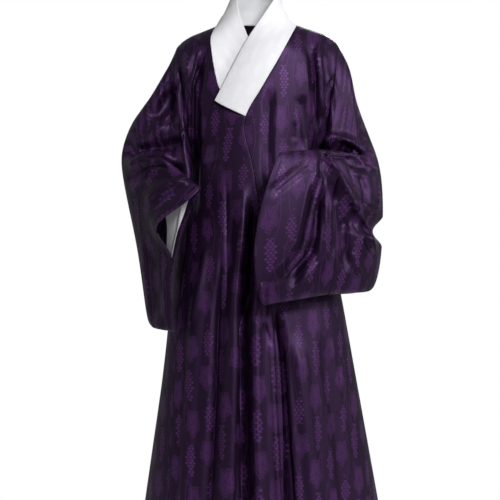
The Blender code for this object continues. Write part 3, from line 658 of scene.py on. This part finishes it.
# Body panels: turn of the grid, sewn sides, hemmed sides
PANELS = {
    "front_left": (1.0, ["top", "first", "last"], ["bottom"]),
    "overlap_panel": (1.0, ["last"], ["first", "bottom"]),
    "front_right": (-1.0, ["top", "last"], ["bottom"]),
    "back_left": (-1.0, ["top", "first", "last"], ["bottom"]),
    "back_right": (1.0, ["top", "first", "last"], ["bottom"]),
}

# Widths of a sleeve: rows of its grid, sewn sides, hemmed sides
SLEEVE_WIDTHS = {
    "upper": (slice(0, UPPER_SLEEVE_ROWS + 1), ["top", "bottom"], []),
    "lower": (slice(UPPER_SLEEVE_ROWS, None), ["top"], ["bottom"]),
}

# Columns of a sleeve's ring, opened along its lower seam
OPENED = (ARM_ROWS - np.arange(2 * ARM_ROWS + 1)) % (2 * ARM_ROWS)

# Studio: lamp name, place, width in metres, power in watts
LAMPS = (
    ("key", (1.5, -3.9, 1.5), 0.9, 134),
    ("right side", (3.2, -1.4, 0.8), 1.6, 48),
    ("left side", (-3.2, -1.4, 0.6), 1.6, 5),
    ("back", (0.6, 3.8, 1.4), 1.6, 110),
)
LAMP_TARGET = (0.0, 0.0, -0.55)
SENSOR_WIDTH = 36.0
ROOM_LIGHT = 0.20
LIGHT_WHITE = (1.0, 1.0, 1.0, 1.0)
FLOOR_HEIGHT = -1.48
FLOOR_RADIUS = 1.0
FLOOR_SIDES = 96
FLOOR_ROUGHNESS = 0.9
FLOOR_COLOUR = (0.90, 0.90, 0.91, 1.0)
FLOOR_FADE_AT = 0.78
FLOOR_FADE_RUN = 0.36
BLACK = (0.0, 0.0, 0.0, 1.0)

# Damask repeat, in metres of cloth
COLUMN_WIDE = 0.047
COLUMN_DROP = 0.38       # share of the repeat by which each next column hangs lower
COLUMN_VARIES = 2.4      # turn, in radians, by which each next column differs
REPEAT_TALL = 0.205
WINDING = 0.004          # how far a column winds to each side
BERRY_PITCH = 0.0092
BERRY_RISE = 0.86 * BERRY_PITCH
BERRY_SIZE = 0.0037
CLUSTER_LONG = 0.088
CLUSTER_VARIES = 0.018
CLUSTER_HALF = 0.017
CLUSTER_TAPER = 0.3      # power by which a cluster rounds off at its upper end
LEAF_PLACE = (0.002, -0.052)
LEAF_HALF = 0.0175
LEAF_VARIES = 0.002
LEAF_STRETCH = 0.50      # a leaf's width as a share of its height
LEAF_LOBES = 5.0
LOBE_DEPTH = 0.0026
LEAF_TEETH = 15.0
TOOTH_DEPTH = 0.0009
VEIN_HALF = 0.0012
INNER_LINE_AT = 0.82     # share of the leaf's half width
INNER_LINE_HALF = 0.0010
VEIN_FADE = 0.8          # how much of the leaf's satin its veins take away
STEM_PLACE = -0.012
STEM_SWAY = 0.010
STEM_HALF = 0.0009
CURL_PLACE = (-0.014, -0.008)
CURL_RADIUS = 0.0050
LEAF_SATIN = 0.7         # strength of the figure's parts beside the berries' 1
STEM_SATIN = 0.5
EDGE_SOFT = {"cluster": 0.0004, "berry": 0.0012, "leaf": 0.0012, "vein": 0.0008, "stem": 0.0007}

# Weave, stitching and uneven dye
THREAD_PITCH = 0.0009
STITCH_PITCH = 0.0042
STITCH_SHARE = 0.6       # share of the pitch that shows as thread
STITCH_INSET = 0.0055    # distance of the stitching from a sewn or turned edge
STITCH_HALF = 0.0006
STITCH_END_SOFT = 0.1
STITCH_EDGE_SOFT = 0.0004
CLOUD_SCALE = 9.0
CLOUD_DETAIL = 4.0
CLOUD_STRETCH = 0.45     # below 1, the uneven dye runs down the cloth
CLOUD_SHADE = 0.8
FIGURE_SHADE = 0.55
CLOUD_ROUGHNESS = 0.06
RELIEF = {"thread": 0.05, "figure": 0.35, "cloud": 0.9, "stitch": 0.8}
BUMP_STRENGTH = 0.5

# Finishes: colours of the ground and of its satin figure, roughness of both, gloss
# and its tint, scale of the figure, depth of the relief in metres
PURPLE = ((0.0100, 0.0038, 0.0138), (0.060, 0.019, 0.086), 0.41, 0.30, 0.40, (0.74, 0.42, 1.0), 1.0, 0.0010)
WHITE = ((0.84, 0.84, 0.87), (0.90, 0.90, 0.92), 0.60, 0.42, 0.30, (1.0, 1.0, 1.0), 1.5, 0.0006)
FACING = ((0.74, 0.74, 0.77), (0.74, 0.74, 0.77), 0.65, 0.65, 0.20, (1.0, 1.0, 1.0), 1.5, 0.0003)


def run_along(points, axis, used=(0, 1, 2)):
    """Distance run along one axis of a grid, counting only some of X, Y and Z."""
    steps = np.linalg.norm(np.diff(points, axis=axis)[..., list(used)], axis=-1)
    start = np.zeros_like(np.take(steps, [0], axis))
    return np.cumsum(np.concatenate([start, steps], axis=axis), axis=axis)


def edge_distance(points, sides):
    """Distance from the nearest of the named sides of a grid."""
    nearest = np.full(points.shape[:-1], 1.0)
    down = run_along(points, 0)
    across = run_along(points, 1)
    distances = {"top": down, "bottom": down[-1:] - down,
                 "first": across, "last": across[:, -1:] - across}
    for side in sides:
        nearest = np.minimum(nearest, distances[side])
    return nearest


def sewn(points, normals, seams, hems):
    """Sink the cloth along its seams and raise its turned hems."""
    groove = 1.0 - ease(edge_distance(points, seams) / SEAM_WIDTH)
    hem = 1.0 - ease((edge_distance(points, hems) - HEM_WIDTH) / HEM_STEP)
    return points + normals * (HEM_RISE * hem - SEAM_DEPTH * groove)[..., None]


def body_cloth(plain):
    """Place of each point of a body panel on its flat cloth."""
    across = run_along(plain, 1, (0, 1))
    outward = np.sign(plain[-1, -1, 0] - plain[-1, 0, 0])
    down = run_along(plain, 0, (1, 2))
    return np.stack([plain[:, :1, 0] + outward * across, HEM_HEIGHT + down[-1:] - down])


def sleeve_cloth(plain):
    """The same for a sleeve that is opened out along its lower seam."""
    along = run_along(plain, 0).mean(axis=1, keepdims=True)
    round_it = run_along(plain, 1)
    middle = round_it[:, round_it.shape[1] // 2, None]
    return np.stack([along + 0.0 * round_it, middle - np.abs(round_it - middle)])


def collar_cloth(band):
    """The same for the collar band."""
    along = run_along(band, 0).mean(axis=1, keepdims=True)
    return np.stack([run_along(band, 1), along + 0.0 * band[..., 0]])


def shell(name, outer, normals, thickness, cloth, seam_distance, finish):
    """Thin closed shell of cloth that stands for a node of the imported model."""
    rows, columns = outer.shape[:2]
    count = rows * columns
    inner = outer - thickness * normals
    vertices = np.concatenate([outer.reshape(-1, 3), inner.reshape(-1, 3)])
    index = np.arange(count).reshape(rows, columns)
    corners = [index[:-1, :-1], index[1:, :-1], index[1:, 1:], index[:-1, 1:]]
    quads = np.stack(corners, axis=-1).reshape(-1, 4)
    rim = np.concatenate([index[:-1, 0], index[-1, :-1], index[:0:-1, -1], index[0, :0:-1]])
    following = np.roll(rim, -1)
    border = np.stack([rim, rim + count, following + count, following], axis=-1)
    faces = np.concatenate([quads, quads[:, ::-1] + count, border])
    mesh = bpy.data.meshes.new(name)
    mesh.from_pydata(vertices.tolist(), [], faces.tolist())
    facing_out = bmesh.new()
    facing_out.from_mesh(mesh)
    bmesh.ops.recalc_face_normals(facing_out, faces=facing_out.faces)
    facing_out.to_mesh(mesh)
    facing_out.free()
    mesh.shade_smooth()
    place = np.stack([*cloth, seam_distance], axis=-1).reshape(-1, 3)
    kept = mesh.attributes.new("cloth", "FLOAT_VECTOR", "POINT")
    kept.data.foreach_set("vector", np.tile(place, (2, 1)).astype(np.float32).ravel())
    mesh.materials.append(finish)
    made = bpy.data.objects.new("cloth_" + name, mesh)
    bpy.context.collection.objects.link(made)
    return made


class Field:
    """A number that varies over the cloth, worked out by math nodes."""

    def __init__(self, tree, socket):
        self.tree = tree
        self.socket = socket

    def math(self, operation, *others):
        node = self.tree.nodes.new("ShaderNodeMath")
        node.operation = operation
        self.tree.links.new(self.socket, node.inputs[0])
        for place, other in enumerate(others, start=1):
            if isinstance(other, Field):
                self.tree.links.new(other.socket, node.inputs[place])
            else:
                node.inputs[place].default_value = other
        return Field(self.tree, node.outputs[0])

    def __add__(self, other):
        return self.math("ADD", other)

    def __sub__(self, other):
        return self.math("SUBTRACT", other)

    def __mul__(self, other):
        return self.math("MULTIPLY", other)

    def __truediv__(self, other):
        return self.math("DIVIDE", other)

    def clipped(self):
        """The number held between 0 and 1."""
        return self.math("MAXIMUM", 0.0).math("MINIMUM", 1.0)

    def past_middle(self):
        """How far the number is past the middle between two whole numbers."""
        return self - self.math("FLOOR") - 0.5

    def below(self, limit, soft):
        """1 where the number is under a limit, falling to 0 over a soft edge."""
        return ((self - limit) / soft * -1.0 + 0.5).clipped()


def cloth_place(tree):
    """Across, up and seam distance fields of the cloth attribute."""
    attribute = tree.nodes.new("ShaderNodeAttribute")
    attribute.attribute_name = "cloth"
    parts = tree.nodes.new("ShaderNodeSeparateXYZ")
    tree.links.new(attribute.outputs["Vector"], parts.inputs[0])
    return [Field(tree, parts.outputs[axis]) for axis in range(3)]


def ring_distance(a, b):
    return (a * a + b * b).math("SQRT")


def berries(a, b, varied):
    """A hanging cluster, widest above its middle and narrowing down to its tip."""
    inside = (b / (varied * CLUSTER_VARIES + CLUSTER_LONG)).clipped()
    width = inside.math("SQRT") * (inside * -1.0 + 1.0).math("POWER", CLUSTER_TAPER) * CLUSTER_HALF
    # Each next row is set half a berry aside
    row = (b / BERRY_RISE).math("FLOOR")
    berry_b = (b / BERRY_RISE).past_middle() * BERRY_RISE
    berry_a = (a / BERRY_PITCH + row * 0.5).past_middle() * BERRY_PITCH
    within = ((a - berry_a).math("ABSOLUTE") - width).below(0.0, EDGE_SOFT["cluster"])
    within = within * b.math("GREATER_THAN", 0.0)
    return ring_distance(berry_a, berry_b).below(BERRY_SIZE, EDGE_SOFT["berry"]) * within


def lobed_leaf(a, b, varied):
    """A broad leaf with a vein down each lobe and a line inside its edge."""
    leaf_a = a - LEAF_PLACE[0]
    leaf_b = (b - LEAF_PLACE[1]) * LEAF_STRETCH
    far = ring_distance(leaf_a, leaf_b)
    angle = leaf_b.math("ARCTAN2", leaf_a)
    lobes = (angle * LEAF_LOBES + math.pi / 2.0).math("COSINE") * LOBE_DEPTH
    teeth = (angle * LEAF_TEETH).math("COSINE") * TOOTH_DEPTH
    beyond = far - lobes - teeth - varied * LEAF_VARIES
    aside = (angle * (LEAF_LOBES / 2.0) + math.pi / 4.0).math("SINE").math("ABSOLUTE")
    vein = (aside * far).below(VEIN_HALF, EDGE_SOFT["vein"])
    from_line = (beyond - LEAF_HALF * INNER_LINE_AT).math("ABSOLUTE")
    inner_line = from_line.below(INNER_LINE_HALF, EDGE_SOFT["vein"])
    leaf = beyond.below(LEAF_HALF, EDGE_SOFT["leaf"])
    return leaf * (vein.math("MAXIMUM", inner_line) * -VEIN_FADE + 1.0)


def stems(a, b, wave):
    """A winding stem and the curl of a tendril beside it."""
    stem = (a - STEM_PLACE - wave * STEM_SWAY).math("ABSOLUTE")
    curl = (ring_distance(a - CURL_PLACE[0], b - CURL_PLACE[1]) - CURL_RADIUS).math("ABSOLUTE")
    return stem.math("MINIMUM", curl).below(STEM_HALF, EDGE_SOFT["stem"])


def vine_pattern(tree, u, v):
    """Mask of hanging berry clusters, broad lobed leaves and winding stems."""
    column = (u / COLUMN_WIDE).math("FLOOR")
    mirrored = column.math("FLOORED_MODULO", 2.0) * -2.0 + 1.0
    b = (v / REPEAT_TALL + column * COLUMN_DROP).past_middle() * REPEAT_TALL
    wave = (b * (2.0 * math.pi / REPEAT_TALL)).math("SINE")
    a = (u / COLUMN_WIDE).past_middle() * COLUMN_WIDE * mirrored + wave * WINDING
    varied = (column * COLUMN_VARIES).math("SINE")
    leaf = lobed_leaf(a, b, varied) * LEAF_SATIN
    lines = stems(a, b, wave) * STEM_SATIN
    return berries(a, b, varied).math("MAXIMUM", leaf).math("MAXIMUM", lines)


def new_material(name):
    """A new material, its node tree and its shader."""
    made = bpy.data.materials.new(name)
    made.use_nodes = True
    return made, made.node_tree, made.node_tree.nodes["Principled BSDF"]


def colour_mix(tree, share, first, second):
    """A blend of two colours by a field."""
    mix = tree.nodes.new("ShaderNodeMix")
    mix.data_type = "RGBA"
    mix.inputs["A"].default_value = first
    mix.inputs["B"].default_value = second
    tree.links.new(share.socket, mix.inputs["Factor"])
    return mix.outputs["Result"]


def uneven_dye(tree, u, v):
    """Clouds in the colour and gloss, longer down the cloth than across it."""
    cloud = tree.nodes.new("ShaderNodeTexNoise")
    cloud.inputs["Scale"].default_value = CLOUD_SCALE
    cloud.inputs["Detail"].default_value = CLOUD_DETAIL
    place = tree.nodes.new("ShaderNodeCombineXYZ")
    tree.links.new(u.socket, place.inputs[0])
    tree.links.new((v * CLOUD_STRETCH).socket, place.inputs[1])
    tree.links.new(place.outputs[0], cloud.inputs["Vector"])
    return Field(tree, cloud.outputs["Fac"])


def damask(name, ground, figure, rough_ground, rough_figure, gloss, gloss_tint, scale, bump_depth):
    """Woven cloth with a satin figure on a matt ground."""
    made, tree, shader = new_material(name)
    u, v, seam = cloth_place(tree)
    mask = vine_pattern(tree, u * scale, v * scale)
    uneven = uneven_dye(tree, u, v)

    shade = (mask * (uneven * CLOUD_SHADE + FIGURE_SHADE)).math("MINIMUM", 1.0)
    tree.links.new(colour_mix(tree, shade, (*ground, 1.0), (*figure, 1.0)), shader.inputs["Base Color"])
    rough = mask * (rough_figure - rough_ground) + rough_ground + uneven * CLOUD_ROUGHNESS
    tree.links.new(rough.socket, shader.inputs["Roughness"])
    shader.inputs["Specular IOR Level"].default_value = gloss
    shader.inputs["Specular Tint"].default_value = (*gloss_tint, 1.0)

    warp = (u * (2.0 * math.pi / THREAD_PITCH)).math("SINE")
    weft = (v * (2.0 * math.pi / THREAD_PITCH)).math("SINE")
    dash = ((v / STITCH_PITCH).past_middle() + 0.5).below(STITCH_SHARE, STITCH_END_SOFT)
    stitch = (seam - STITCH_INSET).math("ABSOLUTE").below(STITCH_HALF, STITCH_EDGE_SOFT) * dash
    relief = warp * weft * RELIEF["thread"] + mask * RELIEF["figure"]
    relief = relief + uneven * RELIEF["cloud"] - stitch * RELIEF["stitch"]
    bump = tree.nodes.new("ShaderNodeBump")
    bump.inputs["Strength"].default_value = BUMP_STRENGTH
    bump.inputs["Distance"].default_value = bump_depth
    tree.links.new(relief.socket, bump.inputs["Height"])
    tree.links.new(bump.outputs["Normal"], shader.inputs["Normal"])
    return made


def panel_form(name, plain, turn):
    """A body panel with its folds, the fronts laid clear of each other."""
    if name == "front_right":
        return covered(plain, turn)
    made = shaped(plain, False, turn, "body")
    return made if name.startswith("back") else lifted(made, turn)


def body_grids():
    """Plain grids of the body panels, and the same with folds, matched at the seams."""
    plain = {
        "front_left": front_panel(OVER_SEAM, 1.0),
        "front_right": front_panel(UNDER_EDGE, -1.0),
        "back_left": back_panel(1.0),
        "back_right": back_panel(-1.0),
    }
    plain["overlap_panel"] = overlap_panel(plain["front_left"])
    made = {name: panel_form(name, grid, PANELS[name][0]) for name, grid in plain.items()}
    centre = (made["back_left"][:, 0] + made["back_right"][:, 0]) / 2.0
    centre[:, 0] = 0.0
    made["overlap_panel"][:, -1] = made["front_left"][NECK_ROWS:, 0]
    for side in ("left", "right"):
        front, back = made["front_" + side], made["back_" + side]
        back[:, 0] = centre
        front[ARM_ROWS:, -1] = back[ARM_ROWS:, -1]
        front[0] = back[0, NAPE_COLUMNS:]
    return plain, made


def declare(made, node):
    """Hide the imported part that a piece stands for, and hang the piece on the root."""
    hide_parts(node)
    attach(made, "root")


def add_damask(node, points, normals, cloth, seams, hems, finish):
    """A sewn and hemmed piece of the purple cloth."""
    outer = pulled_back(sewn(points, normals, seams, hems), CLOSED_GAP)
    made = shell(node, outer, normals, SHELL, cloth, edge_distance(points, seams + hems), finish)
    declare(made, node)


def add_sleeve(side, table, seam_ring, turn, made, finish):
    """Both widths of a sleeve. Returns its grid, opened, with its normals and cloth."""
    front, back = made["front_" + side], made["back_" + side]
    armhole = np.concatenate([front[:ARM_ROWS + 1, -1], back[ARM_ROWS - 1:0:-1, -1]])
    plain = sleeve_grid(table, seam_ring, armhole)
    grid = shaped(plain, True, turn, side + "_sleeve")
    grid[0] = armhole
    normals = grid_normals(grid, True, turn)[:, OPENED]
    grid = grid[:, OPENED]
    cloth = sleeve_cloth(plain[:, OPENED])
    for part, (rows, seams, hems) in SLEEVE_WIDTHS.items():
        node = f"sleeve_{side}_{part}"
        add_damask(node, grid[rows], normals[rows], cloth[:, rows], seams, hems, finish)
    return grid, normals, cloth


def add_facing(sleeve, normals, cloth, finish):
    """White facing inside the right cuff."""
    rows = slice(-1 - FACING_DEPTH_ROWS, -FINER_DOWN)
    points = (sleeve - (CLOTH + FACING_GAP) * normals)[rows]
    made = shell("cuff_facing_right", points, normals[rows], FACING_CLOTH, cloth[:, rows],
                 edge_distance(points, ["top"]), finish)
    declare(made, "cuff_facing_right")


def add_collar(made, finish):
    """Collar band from its over end, round the nape, to its under end."""
    band = collar_grid(made["front_left"], made["front_right"], made["back_left"], made["back_right"])
    normals = grid_normals(band, False, -1.0)
    outer = pulled_back(band, COLLAR_GAP)
    piece = shell("collar_band", outer, normals, COLLAR_CLOTH, collar_cloth(band),
                  edge_distance(band, ["first", "last", "top"]), finish)
    declare(piece, "collar_band")


def area_light(name, place, size, watts):
    data = bpy.data.lights.new(name, "AREA")
    data.shape = "SQUARE"
    data.size = size
    data.energy = watts
    made = bpy.data.objects.new(name, data)
    bpy.context.collection.objects.link(made)
    made.location = place
    away = np.subtract(LAMP_TARGET, place)
    yaw = math.atan2(away[0], -away[1])
    pitch = math.atan2(math.hypot(away[0], away[1]), -away[2])
    made.rotation_euler = (pitch, 0.0, yaw + math.pi)


def studio_world(scene):
    """A white studio that looks brighter than it lights the cloth."""
    world = bpy.data.worlds.new("studio")
    scene.world = world
    world.use_nodes = True
    tree = world.node_tree
    light = tree.nodes.new("ShaderNodeBackground")
    seen = tree.nodes["Background"]
    path = tree.nodes.new("ShaderNodeLightPath")
    mix = tree.nodes.new("ShaderNodeMixShader")
    tree.links.new(path.outputs["Is Camera Ray"], mix.inputs["Fac"])
    for place, (white, strength) in enumerate(((light, ROOM_LIGHT), (seen, 1.0)), start=1):
        white.inputs["Color"].default_value = LIGHT_WHITE
        white.inputs["Strength"].default_value = strength
        tree.links.new(white.outputs[0], mix.inputs[place])
    tree.links.new(mix.outputs[0], tree.nodes["World Output"].inputs["Surface"])


def studio_floor():
    """A pale floor that grows into the white of the studio away from the robe."""
    bpy.ops.mesh.primitive_circle_add(vertices=FLOOR_SIDES, radius=FLOOR_RADIUS, fill_type="NGON",
                                      location=(0.0, 0.0, FLOOR_HEIGHT))
    floor = bpy.context.object
    floor.name = "floor"
    pale, tree, shader = new_material("pale floor")
    shader.inputs["Roughness"].default_value = FLOOR_ROUGHNESS
    shader.inputs["Emission Color"].default_value = LIGHT_WHITE
    place = tree.nodes.new("ShaderNodeTexCoord")
    length = tree.nodes.new("ShaderNodeVectorMath")
    length.operation = "LENGTH"
    tree.links.new(place.outputs["Object"], length.inputs[0])
    near = Field(tree, length.outputs["Value"]).below(FLOOR_FADE_AT, FLOOR_FADE_RUN)
    tree.links.new(colour_mix(tree, near, BLACK, FLOOR_COLOUR), shader.inputs["Base Color"])
    tree.links.new((near * -1.0 + 1.0).socket, shader.inputs["Emission Strength"])
    floor.data.materials.append(pale)


def studio():
    """Floor, world, lights and camera."""
    scene = bpy.context.scene
    scene.view_settings.view_transform = "Standard"
    studio_world(scene)
    studio_floor()
    for name, place, size, watts in LAMPS:
        area_light(name, place, size, watts)
    camera = bpy.data.objects.new("camera", bpy.data.cameras.new("camera"))
    bpy.context.collection.objects.link(camera)
    camera.location = EYE
    camera.rotation_euler = (math.pi / 2.0, 0.0, 0.0)
    camera.data.sensor_width = SENSOR_WIDTH
    camera.data.lens = SENSOR_WIDTH * PIXELS_PER_SLOPE / (2.0 * VIEW_MIDDLE)
    scene.camera = camera


def main():
    plain, made = body_grids()
    purple = damask("purple damask", *PURPLE)
    for name, (turn, seams, hems) in PANELS.items():
        normals = grid_normals(made[name], False, turn)
        add_damask(name, made[name], normals, body_cloth(plain[name]), seams, hems, purple)
    add_sleeve("left", LEFT_SLEEVE, LEFT_SEAM_RING, -1.0, made, purple)
    sleeve = add_sleeve("right", RIGHT_SLEEVE, RIGHT_SEAM_RING, 1.0, made, purple)
    add_facing(*sleeve, damask("facing cloth", *FACING))
    add_collar(made, damask("white damask", *WHITE))
    studio()


main()
